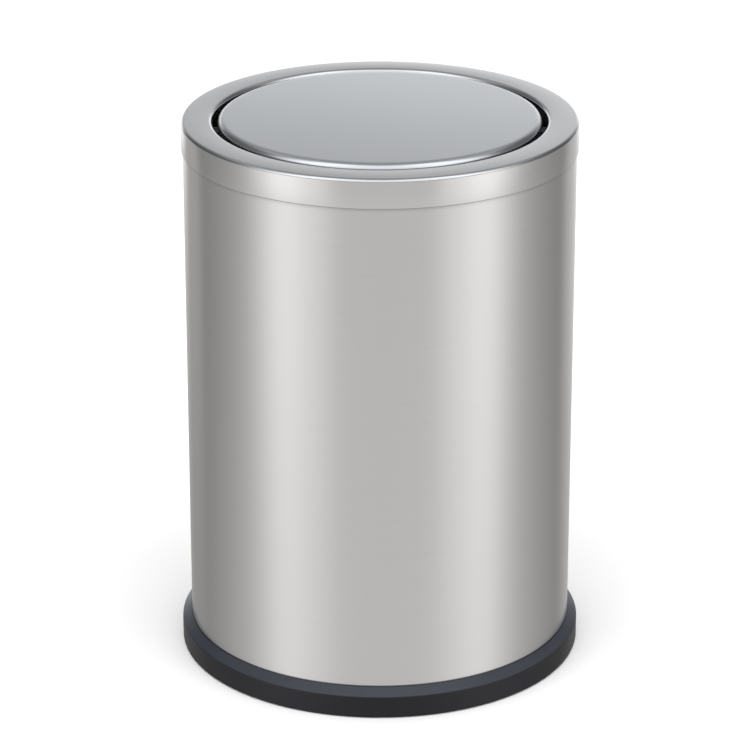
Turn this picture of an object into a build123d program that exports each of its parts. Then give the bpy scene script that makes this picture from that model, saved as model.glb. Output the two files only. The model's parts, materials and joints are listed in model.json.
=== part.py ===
"""Round steel swing-lid wastebasket: outer bin, lift-off collar, pivoting flap and lift-out bucket.

Frame: millimetres, +Z up, origin at the middle of the face the bin stands on. The flap turns
about a line along X, so -Y is the front.
"""

import os
from math import asin, degrees, sqrt

from build123d import *

# Outer bin
shell_radius = 123.9
shell_sheet = 0.6
shell_bend = 2.2
seat_inner_radius = 117.0
seat_bend = 1.1
seat_lip_depth = 3.5

# Plastic base ring
base_radius = 130.0
base_height = 19.0
base_shoulder_width = 5.8
base_shoulder_height = 4.4
base_foot_fillet = 1.5
base_shoulder_fillet = 1.0
base_floor = 3.0
base_inner_radius = 112.0
base_shell_gap = 0.1

# Pressed bottom plate
pan_raise = 4.0
pan_plateau_radius = 104.0
pan_rim_height = 8.0
pan_shell_gap = 0.05

# Base screws
screw_count = 4
screw_circle_radius = 117.5
screw_radius = 1.45
screw_length = 9.5
screw_head_radius = 3.2
screw_head_height = 1.75
screw_head_recess = 0.4
screw_cross_length = 3.2
screw_cross_width = 0.7
screw_cross_depth = 0.85
first_screw_angle = 45.0

# Collar
bin_height = 355.0
collar_radius = 125.0
collar_depth = 19.0
collar_sheet = 0.5
collar_corner = 2.4
aperture_radius = 105.3
aperture_lip_depth = 6.0
aperture_lip_bend = 3.0

# Flap
flap_radius = 101.7
flap_sheet = 0.5
flap_rise = 1.15
flap_crown = 1.2
flap_edge_bend = 4.5
flap_edge_depth = 7.3

# Pivots
pivot_drop = 10.0
journal_radius = 2.0
journal_gap = 0.05
journal_tip = 113.4
journal_chamfer = 0.4
shoulder_radius = 3.0
rivet_head_radius = 3.6
rivet_head_thickness = 1.6
bush_radius = 3.5
bush_flange_radius = 5.0
bush_flange_thickness = 1.0
bush_length = 4.2
bush_start = 108.0
bush_play = 0.3
bracket_sheet = 1.2
bracket_half_width = 11.0
bracket_foot_end = 115.0
bracket_drop = 7.0
bracket_corner = 6.0

# Strap that carries the flap, and its counterweight
strap_sheet = 1.5
strap_half_width = 11.0
strap_ear_drop = 6.0
strap_ear_face = 98.65
strap_cover_gap = 0.1
strap_bend = 3.0
stud_spacing = 44.0
stud_radius = 2.5
stud_end = 5.5
stud_chamfer = 0.5
spacer_radius = 4.0
spacer_length = 18.4
weight_length = 76.0
weight_width = 22.0
weight_height = 18.0
weight_edge = 1.5
washer_radius = 5.0
washer_thickness = 1.0
nut_radius = 4.62
nut_height = 4.0
thread_gap = 0.1
fit_gap = 0.02
hole_reach = 6.0

# Inner bucket
bucket_drop = 30.0
bucket_sheet = 0.5
bucket_foot_radius = 102.0
bucket_wall_radius = 112.3
bucket_bead = 2.0
bucket_floor_raise = 6.0
bucket_floor_bend = 1.5
bucket_seam_gap = 0.05
bucket_hole_reach = 30.0

# Bucket ears, their rivets and the bail
ear_sheet = 1.2
ear_face = 110.5
ear_half_width = 9.0
ear_below_rim = 20.0
ear_above_hole = 6.0
ear_slope_drop = 2.0
ear_top_half_width = 5.0
ear_corner = 2.0
ear_rivet_drop = 14.0
ear_rivet_spacing = 9.0
ear_rivet_radius = 1.75
ear_rivet_head = 3.0
ear_rivet_head_height = 1.2
ear_rivet_reach = 112.1
wire_radius = 1.5
wire_gap = 0.08
bail_radius = 113.4
bail_bend = 2.5
bail_tip = 106.4
bail_head_radius = 2.3
bail_head_length = 1.2
bail_rest_gap = 0.3

# Heights worked out from the sizes above
collar_top = bin_height
collar_under = collar_top - collar_sheet
pivot_height = collar_top - pivot_drop
flap_edge_top = collar_top + flap_rise
flap_edge_low = flap_edge_top - flap_edge_depth
strap_top = flap_edge_top - flap_sheet + strap_cover_gap
strap_under = strap_top - strap_sheet
weight_top = strap_under - spacer_length
weight_under = weight_top - weight_height
washer_under = weight_under - washer_thickness
nut_under = washer_under - nut_height
plateau_top = base_floor + pan_raise + shell_sheet
bucket_rim = collar_top - bucket_drop
bail_height = bucket_rim + wire_radius + bail_rest_gap

sides = (("left", -1), ("right", 1))
os.makedirs("parts", exist_ok=True)


def save(piece, name):
    """Names a finished piece and writes its own STEP file."""
    piece.part.label = name
    export_step(piece.part, f"parts/{name}.step")


def across(distance, height):
    """Plane square to the pivot line, at a distance along it, facing away from the middle."""
    sign = 1 if distance > 0 else -1
    return Plane(origin=(distance, 0, height), x_dir=(0, sign, 0), z_dir=(sign, 0, 0))


# Drawn steel tube. Its top is turned inwards into a flat seat for the collar.
with BuildPart() as body_shell:
    wall = shell_radius - shell_sheet / 2
    seat = collar_under - shell_sheet / 2
    lip = seat_inner_radius + shell_sheet / 2
    with BuildSketch(Plane.XZ):
        with BuildLine():
            FilletPolyline(
                (wall, base_floor + shell_sheet / 2),
                (wall, seat),
                (lip, seat),
                (lip, seat - seat_lip_depth),
                radius=[shell_bend, seat_bend],
            )
            offset(amount=shell_sheet / 2)
        make_face()
    revolve(axis=Axis.Z)
save(body_shell, "body_shell")

# Pressed steel pan that closes the shell. Its raised middle carries the bucket.
with BuildPart() as bottom_plate:
    rim = shell_radius - shell_sheet - pan_shell_gap
    seat = base_floor + shell_sheet
    with BuildSketch(Plane.XZ):
        with BuildLine():
            Polyline(
                (0, plateau_top),
                (pan_plateau_radius, plateau_top),
                (pan_plateau_radius + pan_raise, seat),
                (rim - shell_sheet, seat),
                (rim - shell_sheet, base_floor + pan_rim_height),
                (rim, base_floor + pan_rim_height),
                (rim, base_floor),
                (pan_plateau_radius + pan_raise - shell_sheet / 2, base_floor),
                (pan_plateau_radius - shell_sheet / 2, plateau_top - shell_sheet),
                (0, plateau_top - shell_sheet),
                close=True,
            )
        make_face()
    revolve(axis=Axis.Z)
    with PolarLocations(screw_circle_radius, screw_count, start_angle=first_screw_angle):
        Hole(radius=screw_radius + fit_gap)
save(bottom_plate, "bottom_plate")

# Moulded ring that the bin stands on, with a sloping shoulder up to the shell.
with BuildPart() as base_ring:
    groove = shell_radius + base_shell_gap
    with BuildSketch(Plane.XZ):
        with BuildLine():
            Polyline(
                (base_inner_radius, 0),
                (base_radius, 0),
                (base_radius, base_height - base_shoulder_height),
                (base_radius - base_shoulder_width, base_height),
                (groove, base_height),
                (groove, base_floor),
                (base_inner_radius, base_floor),
                close=True,
            )
        make_face()
        fillet(vertices().group_by(Axis.X)[-1].sort_by(Axis.Y)[0], radius=base_foot_fillet)
        fillet(vertices().group_by(Axis.X)[-1].sort_by(Axis.Y)[-1], radius=base_shoulder_fillet)
    revolve(axis=Axis.Z)
    with Locations(Plane(origin=(0, 0, 0), z_dir=(0, 0, -1))):
        with PolarLocations(screw_circle_radius, screw_count, start_angle=first_screw_angle):
            CounterSinkHole(
                radius=screw_radius + 2 * thread_gap,
                counter_sink_radius=screw_head_radius + screw_head_recess,
                depth=base_floor,
            )
save(base_ring, "base_ring")

# Countersunk self-tapping screws, driven up through the ring into the pan.
with BuildPart() as base_screws:
    with BuildSketch(Plane.XY.offset(screw_head_recess)):
        with PolarLocations(screw_circle_radius, screw_count, start_angle=first_screw_angle):
            Circle(radius=screw_radius)
    extrude(amount=screw_length)
    with Locations((0, 0, screw_head_recess)):
        with PolarLocations(screw_circle_radius, screw_count, start_angle=first_screw_angle):
            Cone(
                bottom_radius=screw_head_radius,
                top_radius=screw_radius,
                height=screw_head_height,
                align=(Align.CENTER, Align.CENTER, Align.MIN),
            )
    with BuildSketch(Plane.XY.offset(screw_head_recess)):
        with PolarLocations(screw_circle_radius, screw_count, start_angle=first_screw_angle):
            Rectangle(screw_cross_length, screw_cross_width)
            Rectangle(screw_cross_width, screw_cross_length)
    extrude(amount=screw_cross_depth, mode=Mode.SUBTRACT)
save(base_screws, "base_screws")

# Spun steel collar: skirt over the shell, flat top and a small lip turned down at the aperture.
with BuildPart() as collar:
    skirt = collar_radius - collar_sheet / 2
    top = collar_top - collar_sheet / 2
    lip = aperture_radius + collar_sheet / 2
    with BuildSketch(Plane.XZ):
        with BuildLine():
            FilletPolyline(
                (skirt, collar_top - collar_depth + collar_sheet / 2),
                (skirt, top),
                (lip, top),
                (lip, collar_top - aperture_lip_depth + collar_sheet / 2),
                radius=[collar_corner - collar_sheet / 2, aperture_lip_bend - collar_sheet / 2],
            )
            offset(amount=collar_sheet / 2)
        make_face()
    revolve(axis=Axis.Z)
save(collar, "collar")

# Angle brackets welded under the collar, one at each end of the pivot line.
for side, sign in sides:
    with BuildPart() as pivot_bracket:
        plate = bush_start + bush_flange_thickness
        with BuildSketch(Plane.XZ):
            with BuildLine():
                Polyline(
                    (sign * plate, collar_under),
                    (sign * bracket_foot_end, collar_under),
                    (sign * bracket_foot_end, collar_under - bracket_sheet),
                    (sign * (plate + bracket_sheet), collar_under - bracket_sheet),
                    (sign * (plate + bracket_sheet), pivot_height - bracket_drop),
                    (sign * plate, pivot_height - bracket_drop),
                    close=True,
                )
            make_face()
        extrude(amount=bracket_half_width, both=True)
        lower = edges().filter_by(Axis.X).group_by(Axis.Z)[0]
        fillet(lower, radius=bracket_corner)
        with Locations(across(sign * plate, pivot_height)):
            Cylinder(radius=bush_radius + fit_gap, height=hole_reach, mode=Mode.SUBTRACT)
    save(pivot_bracket, f"pivot_bracket_{side}")

# Flanged nylon bushes pressed into the brackets.
for side, sign in sides:
    with BuildPart(across(sign * bush_start, pivot_height)) as pivot_bush:
        Cylinder(
            radius=bush_flange_radius,
            height=bush_flange_thickness,
            align=(Align.CENTER, Align.CENTER, Align.MIN),
        )
        Cylinder(
            radius=bush_radius,
            height=bush_length,
            align=(Align.CENTER, Align.CENTER, Align.MIN),
        )
        Hole(radius=journal_radius + journal_gap)
    save(pivot_bush, f"pivot_bush_{side}")

# Slightly domed flap with a rolled edge.
with BuildPart() as flap_cover:
    dome_radius = (flap_radius**2 + flap_crown**2) / (2 * flap_crown)
    dome_top = flap_edge_top + flap_crown
    inner = flap_radius - flap_sheet
    inner_turn = degrees(asin(inner / (dome_radius - flap_sheet)))
    with BuildSketch(Plane.XZ):
        with BuildLine():
            outside = JernArc((0, dome_top), (1, 0), dome_radius, -degrees(asin(flap_radius / dome_radius)))
            inside = JernArc((0, dome_top - flap_sheet), (1, 0), dome_radius - flap_sheet, -inner_turn)
            Polyline(outside @ 1, (flap_radius, flap_edge_low), (inner, flap_edge_low), inside @ 1)
            Line(inside @ 0, outside @ 0)
        make_face()
        corners = vertices().group_by(Axis.Y)[1].sort_by(Axis.X)
        fillet(corners[0], radius=flap_edge_bend - flap_sheet)
        fillet(vertices().group_by(Axis.X)[-1].sort_by(Axis.Y)[-1], radius=flap_edge_bend)
    revolve(axis=Axis.Z)
save(flap_cover, "flap_cover")

# Steel strap welded under the flap. Its turned-down ends hold the pivot pins.
with BuildPart() as flap_strap:
    ear = strap_ear_face - strap_sheet / 2
    with BuildSketch(Plane.XZ):
        with BuildLine():
            FilletPolyline(
                (-ear, pivot_height - strap_ear_drop),
                (-ear, strap_top - strap_sheet / 2),
                (ear, strap_top - strap_sheet / 2),
                (ear, pivot_height - strap_ear_drop),
                radius=strap_bend,
            )
            offset(amount=strap_sheet / 2)
        make_face()
    extrude(amount=strap_half_width, both=True)
    for side, sign in sides:
        with Locations(across(sign * strap_ear_face, pivot_height)):
            Cylinder(radius=journal_radius + fit_gap, height=hole_reach, mode=Mode.SUBTRACT)
save(flap_strap, "flap_strap")

# Shouldered steel pins riveted into the strap. Their journals turn in the bushes.
for side, sign in sides:
    head = strap_ear_face - strap_sheet - rivet_head_thickness
    with BuildPart(across(sign * head, pivot_height)) as pivot_pin:
        Cylinder(
            radius=rivet_head_radius,
            height=rivet_head_thickness,
            align=(Align.CENTER, Align.CENTER, Align.MIN),
        )
        Cylinder(
            radius=journal_radius,
            height=journal_tip - head,
            align=(Align.CENTER, Align.CENTER, Align.MIN),
        )
        with BuildSketch(across(sign * strap_ear_face, pivot_height)):
            Circle(radius=shoulder_radius)
        extrude(amount=bush_start - bush_play - strap_ear_face)
        tip = edges().group_by(Axis.X)[-1 if sign > 0 else 0]
        chamfer(tip, length=journal_chamfer)
    save(pivot_pin, f"pivot_pin_{side}")

# Iron bar that swings the flap level again.
with BuildPart() as counterweight:
    with Locations((0, 0, weight_under)):
        Box(weight_length, weight_width, weight_height, align=(Align.CENTER, Align.CENTER, Align.MIN))
    fillet(edges(), radius=weight_edge)
    with Locations((0, 0, weight_under)):
        with GridLocations(stud_spacing, 0, 2, 1):
            Hole(radius=stud_radius + 2 * thread_gap)
save(counterweight, "counterweight")

# Weld studs under the strap.
with BuildPart() as counterweight_studs:
    with BuildSketch(Plane.XY.offset(strap_under)):
        with GridLocations(stud_spacing, 0, 2, 1):
            Circle(radius=stud_radius)
    extrude(amount=-(strap_under - weight_under + stud_end))
    chamfer(edges().group_by(Axis.Z)[0], length=stud_chamfer)
save(counterweight_studs, "counterweight_studs")

# Tubes that hold the bar down from the strap.
with BuildPart() as counterweight_spacers:
    with BuildSketch(Plane.XY.offset(weight_top)):
        with GridLocations(stud_spacing, 0, 2, 1):
            Circle(radius=spacer_radius)
            Circle(radius=stud_radius + thread_gap, mode=Mode.SUBTRACT)
    extrude(amount=spacer_length)
save(counterweight_spacers, "counterweight_spacers")

# Washers under the bar.
with BuildPart() as counterweight_washers:
    with BuildSketch(Plane.XY.offset(washer_under)):
        with GridLocations(stud_spacing, 0, 2, 1):
            Circle(radius=washer_radius)
            Circle(radius=stud_radius + 2 * thread_gap, mode=Mode.SUBTRACT)
    extrude(amount=washer_thickness)
save(counterweight_washers, "counterweight_washers")

# Hexagon nuts on the studs.
with BuildPart() as counterweight_nuts:
    with BuildSketch(Plane.XY.offset(nut_under)):
        with GridLocations(stud_spacing, 0, 2, 1):
            RegularPolygon(radius=nut_radius, side_count=6)
            Circle(radius=stud_radius + fit_gap, mode=Mode.SUBTRACT)
    extrude(amount=nut_height)
save(counterweight_nuts, "counterweight_nuts")

# Tapered bucket wall with a rolled rim.
with BuildPart() as bucket_wall:
    bead = bucket_wall_radius - bucket_sheet + bucket_bead
    with BuildSketch(Plane.XZ):
        with BuildLine():
            Polyline(
                (bucket_foot_radius - bucket_sheet, plateau_top),
                (bucket_foot_radius, plateau_top),
                (bucket_wall_radius, bucket_rim - bucket_bead),
                (bucket_wall_radius - bucket_sheet, bucket_rim - bucket_bead),
                close=True,
            )
        make_face()
        with Locations((bead, bucket_rim - bucket_bead)):
            Circle(radius=bucket_bead)
    revolve(axis=Axis.Z)
    for side, sign in sides:
        with Locations(across(sign * bucket_wall_radius, bucket_rim - ear_rivet_drop)):
            with GridLocations(ear_rivet_spacing, 0, 2, 1):
                Cylinder(
                    radius=ear_rivet_radius + fit_gap,
                    height=bucket_hole_reach,
                    mode=Mode.SUBTRACT,
                )
save(bucket_wall, "bucket_wall")

# Bucket floor, seamed inside the foot of the wall.
with BuildPart() as bucket_floor:
    foot = bucket_foot_radius - bucket_sheet - bucket_seam_gap
    floor_top = plateau_top + bucket_floor_raise
    with BuildSketch(Plane.XZ):
        with BuildLine():
            Polyline(
                (0, floor_top),
                (foot, floor_top),
                (foot, plateau_top),
                (foot - bucket_sheet, plateau_top),
                (foot - bucket_sheet, floor_top - bucket_sheet),
                (0, floor_top - bucket_sheet),
                close=True,
            )
        make_face()
        fillet(vertices().group_by(Axis.X)[-1].sort_by(Axis.Y)[-1], radius=bucket_floor_bend)
    revolve(axis=Axis.Z)
save(bucket_floor, "bucket_floor")

# Ears riveted inside the bucket's rim, each with a hole for the bail.
for side, sign in sides:
    with BuildPart() as bucket_ear:
        with BuildSketch(across(sign * (ear_face - ear_sheet), 0)):
            with BuildLine():
                Polyline(
                    (-ear_half_width, bucket_rim - ear_below_rim),
                    (ear_half_width, bucket_rim - ear_below_rim),
                    (ear_half_width, bail_height - ear_slope_drop),
                    (ear_top_half_width, bail_height + ear_above_hole),
                    (-ear_top_half_width, bail_height + ear_above_hole),
                    (-ear_half_width, bail_height - ear_slope_drop),
                    close=True,
                )
            make_face()
            fillet(vertices(), radius=ear_corner)
        extrude(amount=ear_sheet)
        with Locations(across(sign * ear_face, bail_height)):
            Cylinder(radius=wire_radius + wire_gap, height=hole_reach, mode=Mode.SUBTRACT)
        with Locations(across(sign * ear_face, bucket_rim - ear_rivet_drop)):
            with GridLocations(ear_rivet_spacing, 0, 2, 1):
                Cylinder(radius=ear_rivet_radius + fit_gap, height=hole_reach, mode=Mode.SUBTRACT)
    save(bucket_ear, f"bucket_ear_{side}")

# Rivets that fasten the ears through the wall, two to each ear.
with BuildPart() as ear_rivets:
    for side, sign in sides:
        height = bucket_rim - ear_rivet_drop
        inner_face = ear_face - ear_sheet
        with Locations(across(sign * (inner_face - ear_rivet_head_height), height)):
            with GridLocations(ear_rivet_spacing, 0, 2, 1):
                Cylinder(
                    radius=ear_rivet_head,
                    height=ear_rivet_head_height,
                    align=(Align.CENTER, Align.CENTER, Align.MIN),
                )
                Cylinder(
                    radius=ear_rivet_radius,
                    height=ear_rivet_reach - inner_face + 2 * ear_rivet_head_height,
                    align=(Align.CENTER, Align.CENTER, Align.MIN),
                )
        with Locations(across(sign * ear_rivet_reach, height)):
            with GridLocations(ear_rivet_spacing, 0, 2, 1):
                Cylinder(
                    radius=ear_rivet_head,
                    height=ear_rivet_head_height,
                    align=(Align.CENTER, Align.CENTER, Align.MIN),
                )
save(ear_rivets, "ear_rivets")

# Wire bail, lying back on the rim. Its ends turn in through the ears and are headed over.
with BuildPart() as bail:
    bend_middle = sqrt((bail_radius - bail_bend) ** 2 - bail_bend**2)
    bend_turn = degrees(asin(bail_bend / (bail_radius - bail_bend)))
    with BuildLine(Plane.XY.offset(bail_height)) as route:
        Line((bail_tip, 0), (bend_middle, 0))
        CenterArc((bend_middle, bail_bend), bail_bend, -90, 90 + bend_turn)
        CenterArc((0, 0), bail_radius, bend_turn, 180 - 2 * bend_turn)
        CenterArc((-bend_middle, bail_bend), bail_bend, 180 - bend_turn, 90 + bend_turn)
        Line((-bend_middle, 0), (-bail_tip, 0))
    with BuildSketch(across(bail_tip, bail_height)):
        Circle(radius=wire_radius)
    sweep()
    for side, sign in sides:
        with Locations(across(sign * bail_tip, bail_height)):
            Cylinder(
                radius=bail_head_radius,
                height=bail_head_length,
                align=(Align.CENTER, Align.CENTER, Align.MAX),
            )
save(bail, "bail")
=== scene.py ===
"""Looks for the swing-lid wastebasket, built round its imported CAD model. Metres, +Z up, front is -Y."""

import json
from math import cos, pi, radians, sin

import bmesh
import bpy
from mathutils import Matrix, Vector


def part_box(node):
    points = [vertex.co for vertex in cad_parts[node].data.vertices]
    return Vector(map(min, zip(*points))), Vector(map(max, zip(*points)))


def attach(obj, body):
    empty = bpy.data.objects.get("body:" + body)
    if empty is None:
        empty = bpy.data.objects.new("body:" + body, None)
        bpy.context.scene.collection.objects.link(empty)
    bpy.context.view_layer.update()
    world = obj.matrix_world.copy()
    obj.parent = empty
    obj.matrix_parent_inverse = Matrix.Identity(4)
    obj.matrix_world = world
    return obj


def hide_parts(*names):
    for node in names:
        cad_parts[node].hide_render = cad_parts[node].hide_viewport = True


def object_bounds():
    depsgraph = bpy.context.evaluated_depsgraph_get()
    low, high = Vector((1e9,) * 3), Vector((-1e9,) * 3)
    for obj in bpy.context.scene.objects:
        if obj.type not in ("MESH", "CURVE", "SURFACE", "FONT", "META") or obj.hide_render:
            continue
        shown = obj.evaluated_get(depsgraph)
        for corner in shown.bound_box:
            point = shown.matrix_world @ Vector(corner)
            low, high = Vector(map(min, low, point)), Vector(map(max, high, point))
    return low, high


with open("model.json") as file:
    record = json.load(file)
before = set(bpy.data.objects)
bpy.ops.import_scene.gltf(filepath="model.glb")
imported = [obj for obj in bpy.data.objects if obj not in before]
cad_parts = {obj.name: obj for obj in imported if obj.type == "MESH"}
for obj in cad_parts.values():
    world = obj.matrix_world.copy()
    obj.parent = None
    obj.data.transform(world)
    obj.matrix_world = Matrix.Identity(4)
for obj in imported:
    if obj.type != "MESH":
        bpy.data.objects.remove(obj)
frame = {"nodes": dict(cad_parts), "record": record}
nodes = frame["nodes"]
cad_low, cad_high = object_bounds()

MM = 0.001
WELD = 0.001 * MM
SHARP = radians(35.0)

# Camera: an ordinary long lens from the front, looking down
LENS_MM = 168.6
SENSOR_MM = 36.0
CAMERA_DISTANCE = 2.1085
CAMERA_HEIGHT = 1.0109
AIM_LEFT = 0.0031
AIM_ABOVE_MIDDLE = 0.0024
CAMERA_REACH = 50.0

# Spun pieces
TURNS = 288
ARC_STEPS = 10
SHEET = 0.5 * MM
SHELL_SHEET = 0.6 * MM
SHELL_CORNER = 2.5 * MM
SEAT_RADIUS = 117.0 * MM
SEAT_BEND = 1.4 * MM
SEAT_LIP_DEPTH = 3.8 * MM
COLLAR_CORNER = 2.2 * MM
COLLAR_HEM = 0.7 * MM
COLLAR_HEM_DEPTH = 0.9 * MM
APERTURE_RADIUS = 105.3 * MM
APERTURE_BEND = 2.5 * MM
APERTURE_LIP_DEPTH = 6.0 * MM
FLAP_CROWN = 1.2 * MM
FLAP_EDGE_BEND = 3.8 * MM
FLAP_FLAT_EDGE = 6.0 * MM
FLAP_RINGS = 18
FLAP_SETTLE = radians(-0.42)
FLAP_SINK = 0.25 * MM

# Noise: the scale that doesn't stretch it, and the middle of its range, where nearly all of it lies
EVENLY = (1.0, 1.0, 1.0)
NOISE_MIDDLE = (0.3, 0.7)

# Brushed steel: how far its colour, grain and gloss vary
STEEL_SHADES = (0.955, 1.045)
GRAIN_ROUGHNESS = 0.62
FINE_GRAIN = 5.0
CLOUD_SCALE = 14.0
GLOSS_SPREAD = 0.04
BRUSH_STRENGTH = 0.08
BRUSH_DEPTH = 0.02 * MM

# Other metals and plastic: how far their gloss varies, and how strongly their grain shows
METAL_SPREAD = 0.08
METAL_STRENGTH = 0.3
PLASTIC_SPREAD = 0.05
PLASTIC_STRENGTH = 0.25

# Galvanised sheet
SPANGLE_SCALE = 110.0
ZINC_DARK = (0.50, 0.52, 0.54)
ZINC_LIGHT = (0.64, 0.66, 0.68)
ZINC_ROUGHNESS = (0.38, 0.52)
SPANGLE_STRENGTH = 0.06

# Painted shade on the shell: a soft shadow line just under the collar and a dark line along the base ring
COLLAR_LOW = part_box("collar")[0].z
RING_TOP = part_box("base_ring")[1].z
SHADE_REACH = 3.0 * MM
RING_SHADE_WIDTH = 0.7 * MM
COLLAR_SHADE_SHARE = 0.36
PAINTED_SHADE_COLOUR = (0.10, 0.10, 0.10)

# Base ring
RING_SHOULDER = 14.6 * MM
RING_LINE_PITCH = 1.1 * MM
RING_LINE_SHARE = 0.6
RING_BLEND = 0.6 * MM
RING_WALL_DARK = (0.0030, 0.0034, 0.0055)
RING_WALL_LIGHT = (0.0050, 0.0056, 0.0085)
# Painted highlight: the shoulder's colours are lighter than the wall's, standing in for the overhead light's
# sheen
RING_SHOULDER_HIGHLIGHT_DARK = (0.028, 0.031, 0.041)
RING_SHOULDER_HIGHLIGHT_LIGHT = (0.044, 0.047, 0.059)
RING_ROUGHNESS = (0.34, 0.42)
RING_SPECULAR = 0.38
RING_GRAIN_SCALE = 2500.0
RING_STRENGTH = 0.35
RING_RELIEF = 0.03 * MM
HANDLING_SCALE = 25.0

# Weld seam up the back of the shell
SEAM_HALF_WIDTH = 0.9 * MM
SEAM_HEIGHT = 0.16 * MM
SEAM_ROWS = 160
SEAM_COLUMNS = 8
SEAM_RIPPLE = 2.2
SEAM_RIPPLE_SHARE = 0.25
SEAM_SINK = 0.02 * MM
SEAM_TOP_GAP = 6.0 * MM

# Studio below the horizon, as (place, brightness), from the front at 0 round to the back at 1
FAR_PANELS = [
    (0.0, 0.70),
    (0.11, 0.70),
    (0.15, 0.73),
    (0.20, 1.0),
    (0.25, 1.16),
    (0.305, 1.38),
    (0.36, 1.37),
    (0.42, 0.95),
    (0.48, 0.60),
    (0.55, 0.44),
    (0.63, 0.36),
    (0.71, 0.30),
    (0.76, 0.52),
    (0.86, 0.43),
    (1.0, 0.45),
]
NEAR_PANELS = [
    (0.0, 0.78),
    (0.13, 0.80),
    (0.22, 0.87),
    (0.31, 0.95),
    (0.36, 0.93),
    (0.43, 0.77),
    (0.50, 0.63),
    (0.64, 0.45),
    (0.74, 0.34),
    (1.0, 0.33),
]
PANEL_SWING = radians(3.0)
DIM_FLOOR = 0.42

# Studio above the horizon, in the same form
LOW_SKY = [
    (0.0, 0.32),
    (0.45, 0.28),
    (0.55, 0.08),
    (0.80, 0.08),
    (0.88, 0.28),
    (1.0, 0.28),
]
DIM_SKY = 0.38
FRONT_PANELS = [
    (0.0, 0.85),
    (0.13, 0.95),
    (0.25, 1.25),
    (0.36, 1.25),
    (0.50, 0.10),
    (1.0, 0.0),
]

# Where one band of the studio gives way to the next, as the sine of its height above the horizon
FOOT_BAND = (-0.44, -0.31)
HORIZON_BAND = (-0.10, 0.04)
HIGH_SKY_BAND = (0.50, 0.75)
FLOOR_BAND = (-0.62, -0.74)
FRONT_PANEL_FOOT = (0.10, 0.24)
FRONT_PANEL_HEAD = (0.985, 0.93)
LOW_BACK_FOOT = (-0.36, -0.27)
LOW_BACK_HEAD = (0.24, 0.15)

# Bright strip low behind the bin: its level, and the places where its sides fade in
LOW_BACK = 1.4
LOW_BACK_SIDES = (0.80, 0.90)

# Soft round panel behind the bin, as (half turns off its direction, brightness)
BACK_PANEL_DIRECTION = (0.14, 0.99, 0.0)
BACK_PANEL = [
    (0.0, 1.1),
    (0.045, 1.1),
    (0.09, 0.52),
    (0.115, 0.33),
    (0.15, 0.17),
    (0.22, 0.0),
]

# Light and floor
WARM = (1.0, 0.988, 0.981)
COOL = (0.95, 0.975, 1.0)
OVERHEAD_SIZE = 2.4
OVERHEAD_HEIGHT = 2.6
OVERHEAD_WATTS = 52.0
FLOOR_HALF = 6.0
FLOOR_DROP = 0.2 * MM
FLOOR_ROUGHNESS = 0.9
FLOOR_COLOUR = (0.95, 0.935, 0.92, 1.0)
BACKGROUND = (1.0, 1.0, 1.0, 1.0)

# ---------------------------------------------------------------- node helpers


def add(tree, kind, **settings):
    """A node of that kind, with its properties set."""
    node = tree.nodes.new(kind)
    for name, value in settings.items():
        setattr(node, name, value)
    return node


def feed(tree, socket, value):
    """Gives a socket a link from another socket, or a constant."""
    if isinstance(value, bpy.types.NodeSocket):
        tree.links.new(value, socket)
    else:
        socket.default_value = value


def calc(tree, operation, *values):
    """A Math node's result."""
    node = add(tree, "ShaderNodeMath", operation=operation)
    for socket, value in zip(node.inputs, values):
        feed(tree, socket, value)
    return node.outputs[0]


def remap(tree, value, low, high, to_low=0.0, to_high=1.0, smooth=True):
    """Value carried from low..high to to_low..to_high, and held at both ends."""
    kind = "SMOOTHSTEP" if smooth else "LINEAR"
    node = add(tree, "ShaderNodeMapRange", interpolation_type=kind, clamp=True)
    for name, number in (
        ("Value", value),
        ("From Min", low),
        ("From Max", high),
        ("To Min", to_low),
        ("To Max", to_high),
    ):
        feed(tree, node.inputs[name], number)
    return node.outputs["Result"]


def ramp(tree, value, stops):
    """Brightness read off a list of (place, brightness) stops."""
    node = add(tree, "ShaderNodeValToRGB")
    elements = node.color_ramp.elements
    for place, level in stops[1:-1]:
        elements.new(place).color = (level, level, level, 1.0)
    for element, (place, level) in ((elements[0], stops[0]), (elements[-1], stops[-1])):
        element.position = place
        element.color = (level, level, level, 1.0)
    feed(tree, node.inputs["Fac"], value)
    return node.outputs["Color"]


def lerp(tree, share, first, second):
    """First where share is 0, second where it is 1."""
    node = add(tree, "ShaderNodeMix", data_type="FLOAT")
    for place, value in ((0, share), (2, first), (3, second)):
        feed(tree, node.inputs[place], value)
    return node.outputs[0]


def stretched(tree, scale):
    """Object coordinates in metres times a scale for each axis, so that noise runs out in streaks."""
    place = add(tree, "ShaderNodeTexCoord")
    mapping = add(tree, "ShaderNodeMapping")
    mapping.inputs["Scale"].default_value = scale
    tree.links.new(place.outputs["Object"], mapping.inputs["Vector"])
    return mapping.outputs["Vector"]


def noise(tree, vector, scale, detail=3.0, roughness=0.5):
    """Noise between 0 and 1."""
    node = add(tree, "ShaderNodeTexNoise")
    node.inputs["Scale"].default_value = scale
    node.inputs["Detail"].default_value = detail
    node.inputs["Roughness"].default_value = roughness
    tree.links.new(vector, node.inputs["Vector"])
    return node.outputs["Fac"]


def blend_colours(tree, value, first, second):
    """First where value is 0, second where it is 1; either may be a socket or a colour."""
    node = add(tree, "ShaderNodeMix", data_type="RGBA")
    feed(tree, node.inputs["Factor"], value)
    feed(tree, node.inputs["A"], first)
    feed(tree, node.inputs["B"], second)
    return node.outputs["Result"]


def tint(tree, value, dark, light):
    """A colour between two plain ones, by value."""
    return blend_colours(tree, value, (*dark, 1.0), (*light, 1.0))


def bump(tree, height, strength, distance):
    """A normal bumped by height; distance is in metres."""
    node = add(tree, "ShaderNodeBump")
    node.inputs["Strength"].default_value = strength
    node.inputs["Distance"].default_value = distance
    feed(tree, node.inputs["Height"], height)
    return node.outputs["Normal"]


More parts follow.
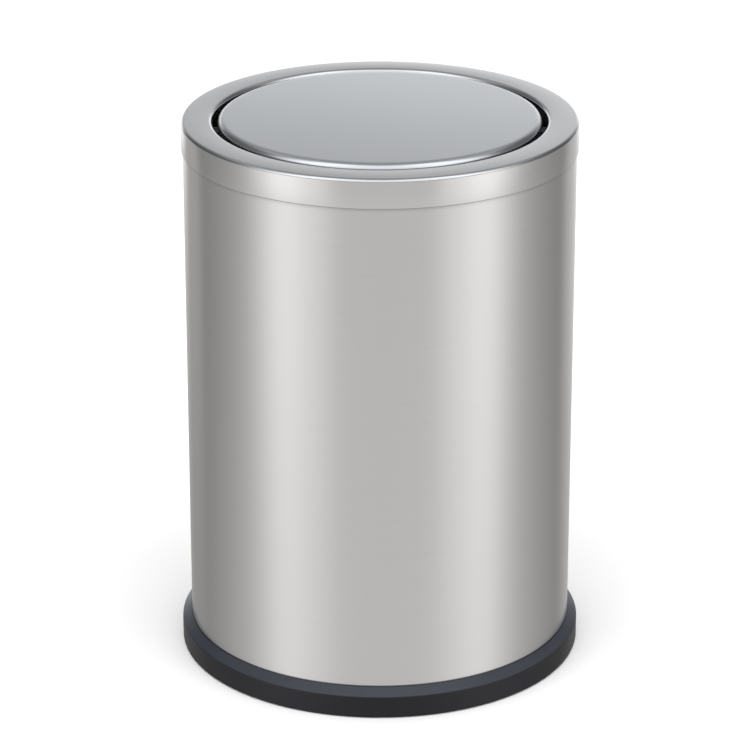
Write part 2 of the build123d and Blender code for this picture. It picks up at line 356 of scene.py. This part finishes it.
def new_material(name):
    """A node material with its Principled shader."""
    material = bpy.data.materials.new(name)
    material.use_nodes = True
    return material, material.node_tree, material.node_tree.nodes["Principled BSDF"]


# ------------------------------------------------------------------- materials


def painted_shade(tree, height):
    """Painted shade, 0 to 1: a soft shadow just under the collar and a dark line along the base ring."""
    under_collar = remap(tree, height, COLLAR_LOW - SHADE_REACH, COLLAR_LOW + SHADE_REACH / 2)
    over_ring = remap(tree, height, RING_TOP + 2 * RING_SHADE_WIDTH, RING_TOP + RING_SHADE_WIDTH / 2)
    return calc(tree, "MAXIMUM", calc(tree, "MULTIPLY", under_collar, COLLAR_SHADE_SHARE), over_ring)


def brushed_steel(name, colour, streak, tangent_axis, turn, roughness, anisotropy, shade_lines=False):
    """Stainless steel with a brushed grain. streak scales the noise on each axis, small along the grain."""
    material, tree, shader = new_material(name)
    along = stretched(tree, streak)
    grain = noise(tree, along, 1.0, detail=5.0, roughness=GRAIN_ROUGHNESS)
    fine = noise(tree, along, FINE_GRAIN, detail=2.0)
    everywhere = stretched(tree, EVENLY)
    cloud = noise(tree, everywhere, CLOUD_SCALE, detail=2.0)
    dark, light = [tuple(shade * c for c in colour) for shade in STEEL_SHADES]
    steel = tint(tree, grain, dark, light)
    # Painted shade: dark lines painted on just under the collar and along the base ring
    if shade_lines:
        parts = add(tree, "ShaderNodeSeparateXYZ")
        tree.links.new(everywhere, parts.inputs["Vector"])
        steel = blend_colours(tree, painted_shade(tree, parts.outputs["Z"]), steel, (*PAINTED_SHADE_COLOUR, 1.0))
    feed(tree, shader.inputs["Base Color"], steel)
    shader.inputs["Metallic"].default_value = 1.0
    level = calc(tree, "MULTIPLY_ADD", cloud, GLOSS_SPREAD / 2, roughness - 0.75 * GLOSS_SPREAD)
    feed(tree, shader.inputs["Roughness"], calc(tree, "MULTIPLY_ADD", grain, GLOSS_SPREAD, level))
    shader.inputs["Anisotropic"].default_value = anisotropy
    shader.inputs["Anisotropic Rotation"].default_value = turn
    tangent = add(tree, "ShaderNodeTangent", direction_type="RADIAL", axis=tangent_axis)
    tree.links.new(tangent.outputs["Tangent"], shader.inputs["Tangent"])
    feed(tree, shader.inputs["Normal"], bump(tree, fine, BRUSH_STRENGTH, BRUSH_DEPTH))
    return material


def plain_metal(name, dark, light, roughness, grain_scale, bump_height):
    """Plated or as-cast metal with a mottled surface."""
    material, tree, shader = new_material(name)
    place = stretched(tree, EVENLY)
    mottle = noise(tree, place, grain_scale, detail=4.0, roughness=0.6)
    feed(tree, shader.inputs["Base Color"], tint(tree, mottle, dark, light))
    shader.inputs["Metallic"].default_value = 1.0
    worn = remap(tree, mottle, *NOISE_MIDDLE, roughness - METAL_SPREAD, roughness + METAL_SPREAD)
    feed(tree, shader.inputs["Roughness"], worn)
    feed(tree, shader.inputs["Normal"], bump(tree, mottle, METAL_STRENGTH, bump_height))
    return material


def galvanised(name):
    """Hot-dip zinc: flat crystals of slightly different grey and gloss."""
    material, tree, shader = new_material(name)
    place = stretched(tree, EVENLY)
    crystals = add(tree, "ShaderNodeTexVoronoi", feature="F1")
    crystals.inputs["Scale"].default_value = SPANGLE_SCALE
    tree.links.new(place, crystals.inputs["Vector"])
    shade = add(tree, "ShaderNodeSeparateColor")
    tree.links.new(crystals.outputs["Color"], shade.inputs["Color"])
    feed(tree, shader.inputs["Base Color"], tint(tree, shade.outputs["Red"], ZINC_DARK, ZINC_LIGHT))
    shader.inputs["Metallic"].default_value = 1.0
    gloss = remap(tree, shade.outputs["Green"], 0.0, 1.0, *ZINC_ROUGHNESS, smooth=False)
    feed(tree, shader.inputs["Roughness"], gloss)
    feed(tree, shader.inputs["Normal"], bump(tree, shade.outputs["Blue"], SPANGLE_STRENGTH, BRUSH_DEPTH))
    return material


def moulded_ring(name):
    """The base ring's plastic: near black with a faint handling haze, painted lighter on the shoulder as a
    painted highlight, with faint turned lines.
    """
    material, tree, shader = new_material(name)
    place = stretched(tree, EVENLY)
    haze = noise(tree, place, HANDLING_SCALE, detail=3.0)
    grain = noise(tree, place, RING_GRAIN_SCALE, detail=2.0)
    parts = add(tree, "ShaderNodeSeparateXYZ")
    tree.links.new(place, parts.inputs["Vector"])
    height = parts.outputs["Z"]
    shoulder = remap(tree, height, RING_SHOULDER - RING_BLEND, RING_SHOULDER + RING_BLEND)
    wall_colour = tint(tree, haze, RING_WALL_DARK, RING_WALL_LIGHT)
    # Painted highlight: the shoulder is coloured lighter than the wall
    shoulder_highlight_colour = tint(tree, haze, RING_SHOULDER_HIGHLIGHT_DARK, RING_SHOULDER_HIGHLIGHT_LIGHT)
    feed(tree, shader.inputs["Base Color"], blend_colours(tree, shoulder, wall_colour, shoulder_highlight_colour))
    feed(tree, shader.inputs["Roughness"], remap(tree, haze, *NOISE_MIDDLE, *RING_ROUGHNESS))
    shader.inputs["Specular IOR Level"].default_value = RING_SPECULAR
    lines = calc(tree, "SINE", calc(tree, "MULTIPLY", height, 2 * pi / RING_LINE_PITCH))
    relief = calc(tree, "MULTIPLY_ADD", calc(tree, "MULTIPLY", lines, shoulder), RING_LINE_SHARE, grain)
    feed(tree, shader.inputs["Normal"], bump(tree, relief, RING_STRENGTH, RING_RELIEF))
    return material


def plastic(name, dark, light, roughness, grain_scale, bump_height):
    """Moulded plastic with a fine spark-eroded texture."""
    material, tree, shader = new_material(name)
    place = stretched(tree, EVENLY)
    mottle = noise(tree, place, grain_scale, detail=3.0)
    haze = noise(tree, place, HANDLING_SCALE, detail=2.0)
    feed(tree, shader.inputs["Base Color"], tint(tree, haze, dark, light))
    worn = remap(tree, haze, *NOISE_MIDDLE, roughness - PLASTIC_SPREAD, roughness + PLASTIC_SPREAD)
    feed(tree, shader.inputs["Roughness"], worn)
    feed(tree, shader.inputs["Normal"], bump(tree, mottle, PLASTIC_STRENGTH, bump_height))
    return material


materials = {
    "shell_steel": brushed_steel(
        "shell_steel",
        colour=(0.66, 0.657, 0.652),
        streak=(30.0, 30.0, 2200.0),
        tangent_axis="Z",
        turn=0.25,
        roughness=0.25,
        anisotropy=0.6,
        # painted shade lines under the collar and along the base ring
        shade_lines=True,
    ),
    "collar_steel": brushed_steel(
        "collar_steel",
        colour=(0.665, 0.663, 0.66),
        streak=(40.0, 40.0, 1500.0),
        tangent_axis="Z",
        turn=0.25,
        roughness=0.20,
        anisotropy=0.25,
    ),
    "flap_steel": brushed_steel(
        "flap_steel",
        colour=(0.67, 0.675, 0.69),
        streak=(9.0, 1500.0, 40.0),
        tangent_axis="X",
        turn=0.0,
        roughness=0.24,
        anisotropy=0.5,
    ),
    "base_plastic": moulded_ring("base_plastic"),
    "galvanised_steel": galvanised("galvanised_steel"),
    "zinc_hardware": plain_metal(
        "zinc_hardware",
        dark=(0.56, 0.56, 0.55),
        light=(0.66, 0.66, 0.64),
        roughness=0.32,
        grain_scale=700.0,
        bump_height=0.01 * MM,
    ),
    "bush_nylon": plastic(
        "bush_nylon",
        dark=(0.010, 0.010, 0.010),
        light=(0.016, 0.016, 0.016),
        roughness=0.42,
        grain_scale=1800.0,
        bump_height=0.01 * MM,
    ),
    "blackened_steel": plain_metal(
        "blackened_steel",
        dark=(0.035, 0.035, 0.04),
        light=(0.07, 0.07, 0.075),
        roughness=0.42,
        grain_scale=800.0,
        bump_height=0.01 * MM,
    ),
    "weight_iron": plain_metal(
        "weight_iron",
        dark=(0.05, 0.05, 0.05),
        light=(0.13, 0.125, 0.12),
        roughness=0.55,
        grain_scale=900.0,
        bump_height=0.12 * MM,
    ),
    "bail_wire": plain_metal(
        "bail_wire",
        dark=(0.52, 0.53, 0.54),
        light=(0.62, 0.63, 0.64),
        roughness=0.30,
        grain_scale=900.0,
        bump_height=0.01 * MM,
    ),
}

for part in frame["record"]["subparts"]:
    node = nodes[part["node"]]
    node.data.materials.clear()
    node.data.materials.append(materials[part["material_slot"]])


# ---------------------------------------------------------------- spun pieces


def rounded(corners, radii):
    """An open path through those corners, with the inner ones rounded to those radii (0 keeps a corner)."""
    path = [Vector(corners[0])]
    for before, corner, after, radius in zip(corners, corners[1:], corners[2:], radii):
        corner = Vector(corner)
        if radius == 0:
            path.append(corner)
            continue
        back = (Vector(before) - corner).normalized()
        ahead = (Vector(after) - corner).normalized()
        half = back.angle(ahead) / 2
        middle = corner + (back + ahead).normalized() * (radius / sin(half))
        first = corner + back * (radius * cos(half) / sin(half)) - middle
        turn = pi - 2 * half
        side = 1 if back.x * ahead.y - back.y * ahead.x < 0 else -1
        for step in range(ARC_STEPS + 1):
            path.append(middle + Matrix.Rotation(side * turn * step / ARC_STEPS, 2) @ first)
    path.append(Vector(corners[-1]))
    return path


def sheet_outline(path, thickness):
    """A closed outline: the path and its copy a sheet's thickness to its left."""
    inside = []
    for place, point in enumerate(path):
        run = path[min(place + 1, len(path) - 1)] - path[max(place - 1, 0)]
        inside.append(point + Vector((-run.y, run.x)).normalized() * thickness)
    return path + inside[::-1]


def spun(name, outline):
    """A closed outline of (radius, height) turned round the bin's axis."""
    shape = bmesh.new()
    rings = []
    for turn in range(TURNS):
        angle = 2 * pi * turn / TURNS
        rings.append([shape.verts.new((r * cos(angle), r * sin(angle), z)) for r, z in outline])
    for here, there in zip(rings, rings[1:] + rings[:1]):
        for place in range(len(outline)):
            ahead = (place + 1) % len(outline)
            if outline[place][0] or outline[ahead][0]:
                shape.faces.new((here[place], here[ahead], there[ahead], there[place]))
    bmesh.ops.remove_doubles(shape, verts=shape.verts, dist=WELD)
    bmesh.ops.dissolve_degenerate(shape, edges=shape.edges, dist=WELD)
    bmesh.ops.recalc_face_normals(shape, faces=shape.faces)
    return finished(name, shape)


def finished(name, shape):
    """An object made of that bmesh, smooth but for its sharp edges."""
    mesh = bpy.data.meshes.new(name)
    shape.to_mesh(mesh)
    shape.free()
    mesh.polygons.foreach_set("use_smooth", [True] * len(mesh.polygons))
    mesh.set_sharp_from_angle(angle=SHARP)
    piece = bpy.data.objects.new(name, mesh)
    bpy.context.scene.collection.objects.link(piece)
    return piece


def stand_for(piece, node, body, slot):
    """Shows the piece in place of a CAD node, on that body and in that finish."""
    piece.data.materials.append(materials[slot])
    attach(piece, body)
    if node:
        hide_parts(node)


def spun_shell():
    """The shell: a plain tube whose top is turned inwards into a flat seat for the collar."""
    low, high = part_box("body_shell")
    path = rounded(
        [
            (high.x, low.z),
            (high.x, high.z - 2 * SHELL_CORNER),
            (high.x, high.z),
            (SEAT_RADIUS, high.z),
            (SEAT_RADIUS, high.z - SEAT_LIP_DEPTH),
        ],
        [0, SHELL_CORNER, SEAT_BEND],
    )
    stand_for(spun("body_shell_spun", sheet_outline(path, SHELL_SHEET)), "body_shell", "bin", "shell_steel")


def spun_collar():
    """The collar: skirt with a turned-in hem, flat top, and a softly turned lip at the aperture."""
    low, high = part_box("collar")
    path = rounded(
        [
            (high.x - COLLAR_HEM_DEPTH, low.z),
            (high.x, low.z),
            (high.x, high.z),
            (APERTURE_RADIUS, high.z),
            (APERTURE_RADIUS, high.z - APERTURE_LIP_DEPTH),
        ],
        [COLLAR_HEM, COLLAR_CORNER, APERTURE_BEND],
    )
    stand_for(spun("collar_spun", sheet_outline(path, SHEET)), "collar", "collar", "collar_steel")


def spun_flap():
    """The flap: a low dome with a rolled edge. It hangs a little nose-up, as a free flap does."""
    low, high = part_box("flap_cover")
    edge = high.z - FLAP_CROWN
    dome = []
    for ring in range(FLAP_RINGS + 1):
        radius = (high.x - FLAP_FLAT_EDGE) * ring / FLAP_RINGS
        dome.append((radius, high.z - FLAP_CROWN * (radius / high.x) ** 2))
    corners = dome + [(high.x, edge), (high.x, low.z)]
    path = rounded(corners, [0] * FLAP_RINGS + [FLAP_EDGE_BEND])
    outline = sheet_outline(path[::-1], SHEET)
    outline = [Vector((max(0.0, r), z)) for r, z in outline]
    piece = spun("flap_cover_spun", outline)
    lowered = Matrix.Translation((0, 0, -edge - FLAP_SINK))
    settled = Matrix.Translation((0, 0, edge)) @ Matrix.Rotation(FLAP_SETTLE, 4, "X")
    piece.data.transform(settled @ lowered)
    stand_for(piece, "flap_cover", "flap", "flap_steel")


def weld_seam():
    """The shell's lengthwise weld: a low rippled bead, up the back."""
    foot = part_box("base_ring")[1].z
    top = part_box("body_shell")[1].z - SEAM_TOP_GAP
    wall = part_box("body_shell")[1].y
    shape = bmesh.new()
    rows = []
    for row in range(SEAM_ROWS + 1):
        height = foot + (top - foot) * row / SEAM_ROWS
        ripple = 1.0 + SEAM_RIPPLE_SHARE * cos(SEAM_RIPPLE * row)
        outline = [(SEAM_HALF_WIDTH, wall - SEAM_HEIGHT), (-SEAM_HALF_WIDTH, wall - SEAM_HEIGHT)]
        for column in range(SEAM_COLUMNS + 1):
            share = 2 * column / SEAM_COLUMNS - 1
            bulge = SEAM_HEIGHT * ripple * cos(share * pi / 2)
            outline.append((SEAM_HALF_WIDTH * share, wall + bulge - SEAM_SINK))
        rows.append([shape.verts.new((x, y, height)) for x, y in outline])
    for here, there in zip(rows, rows[1:]):
        for place in range(len(here)):
            ahead = (place + 1) % len(here)
            shape.faces.new((here[place], here[ahead], there[ahead], there[place]))
    shape.faces.new(rows[0])
    shape.faces.new(rows[-1])
    bmesh.ops.recalc_face_normals(shape, faces=shape.faces)
    stand_for(finished("shell_weld_seam", shape), None, "bin", "shell_steel")


spun_shell()
spun_collar()
spun_flap()
weld_seam()


# ---------------------------------------------------------------------- studio


def studio_world():
    """Soft studio surroundings: panels beside the bin, one above the camera, a bright one low behind."""
    world = bpy.data.worlds.new("studio")
    world.use_nodes = True
    bpy.context.scene.world = world
    tree = world.node_tree
    backdrop = tree.nodes["Background"]
    place = add(tree, "ShaderNodeTexCoord").outputs["Generated"]
    parts = add(tree, "ShaderNodeSeparateXYZ")
    tree.links.new(place, parts.inputs["Vector"])
    east, north, up = parts.outputs

    # Below the horizon, from the front (0) round to the back (1)
    south = calc(tree, "MULTIPLY", north, -1.0)
    swung = calc(tree, "SUBTRACT", calc(tree, "ARCTAN2", east, south), PANEL_SWING)
    round_the_bin = calc(tree, "DIVIDE", calc(tree, "ABSOLUTE", swung), pi)
    far = ramp(tree, round_the_bin, FAR_PANELS)
    near = ramp(tree, round_the_bin, NEAR_PANELS)
    depth = remap(tree, up, *FOOT_BAND)
    panels = lerp(tree, depth, near, far)

    # Above the horizon it is dim but for the panels over the camera
    raised = remap(tree, up, *HORIZON_BAND)
    low_sky = ramp(tree, round_the_bin, LOW_SKY)
    sky = lerp(tree, remap(tree, up, *HIGH_SKY_BAND), low_sky, DIM_SKY)
    sides = lerp(tree, raised, panels, sky)
    sides = lerp(tree, remap(tree, up, *FLOOR_BAND), sides, DIM_FLOOR)
    above = calc(tree, "MULTIPLY", remap(tree, up, *FRONT_PANEL_FOOT), remap(tree, up, *FRONT_PANEL_HEAD))
    front_panel = calc(tree, "MULTIPLY", ramp(tree, round_the_bin, FRONT_PANELS), above)

    # The panel low behind the bin, a little to the right
    toward = add(tree, "ShaderNodeVectorMath", operation="DOT_PRODUCT")
    tree.links.new(place, toward.inputs[0])
    toward.inputs[1].default_value = Vector(BACK_PANEL_DIRECTION).normalized()
    off_panel = calc(tree, "DIVIDE", calc(tree, "ARCCOSINE", toward.outputs["Value"]), pi)
    back_panel = ramp(tree, off_panel, BACK_PANEL)

    light = calc(tree, "ADD", calc(tree, "ADD", sides, front_panel), back_panel)

    # A bright strip low behind, just over and under the horizon
    behind = remap(tree, round_the_bin, *LOW_BACK_SIDES)
    strip = calc(tree, "MULTIPLY", remap(tree, up, *LOW_BACK_FOOT), remap(tree, up, *LOW_BACK_HEAD))
    low_back = calc(tree, "MULTIPLY", calc(tree, "MULTIPLY", behind, strip), LOW_BACK)
    light = calc(tree, "MAXIMUM", light, low_back)

    # What the camera sees directly is plain white
    seen = add(tree, "ShaderNodeLightPath").outputs["Is Camera Ray"]
    plain = add(tree, "ShaderNodeBackground")
    plain.inputs["Color"].default_value = BACKGROUND
    chosen = add(tree, "ShaderNodeMixShader")
    tree.links.new(seen, chosen.inputs["Fac"])
    feed(tree, backdrop.inputs["Color"], tint(tree, raised, WARM, COOL))
    tree.links.new(light, backdrop.inputs["Strength"])
    tree.links.new(backdrop.outputs["Background"], chosen.inputs[1])
    tree.links.new(plain.outputs["Background"], chosen.inputs[2])
    tree.links.new(chosen.outputs["Shader"], tree.nodes["World Output"].inputs["Surface"])


def studio_light():
    """A broad soft light overhead, for the floor and the plastic. The steel doesn't mirror it."""
    data = bpy.data.lights.new("overhead", "AREA")
    data.shape = "SQUARE"
    data.size = OVERHEAD_SIZE
    data.energy = OVERHEAD_WATTS
    light = bpy.data.objects.new("overhead", data)
    light.location = (0.0, 0.0, OVERHEAD_HEIGHT)
    light.visible_glossy = False
    bpy.context.scene.collection.objects.link(light)


def studio_floor():
    """A plain pale floor. The steel doesn't mirror it, so its sides keep the panels' soft bands."""
    bpy.ops.mesh.primitive_plane_add(size=2 * FLOOR_HALF, location=(0.0, 0.0, -FLOOR_DROP))
    floor = bpy.context.object
    floor.name = "floor"
    material, tree, shader = new_material("pale_floor")
    shader.inputs["Base Color"].default_value = FLOOR_COLOUR
    shader.inputs["Roughness"].default_value = FLOOR_ROUGHNESS
    shader.inputs["Specular IOR Level"].default_value = 0.0
    floor.data.materials.append(material)
    floor.visible_glossy = False


def camera():
    """The camera at the front, looking down on the lid."""
    data = bpy.data.cameras.new("camera")
    data.sensor_width = SENSOR_MM
    data.lens = LENS_MM
    data.clip_end = CAMERA_REACH
    viewer = bpy.data.objects.new("camera", data)
    bpy.context.scene.collection.objects.link(viewer)
    bpy.context.scene.camera = viewer
    middle = (cad_low + cad_high) / 2
    aim = Vector((-AIM_LEFT, 0.0, middle.z + AIM_ABOVE_MIDDLE))
    viewer.location = (0.0, -CAMERA_DISTANCE, CAMERA_HEIGHT)
    viewer.rotation_euler = (aim - viewer.location).to_track_quat("-Z", "Y").to_euler()


studio_world()
studio_light()
studio_floor()
camera()
bpy.context.scene.view_settings.view_transform = "Standard"
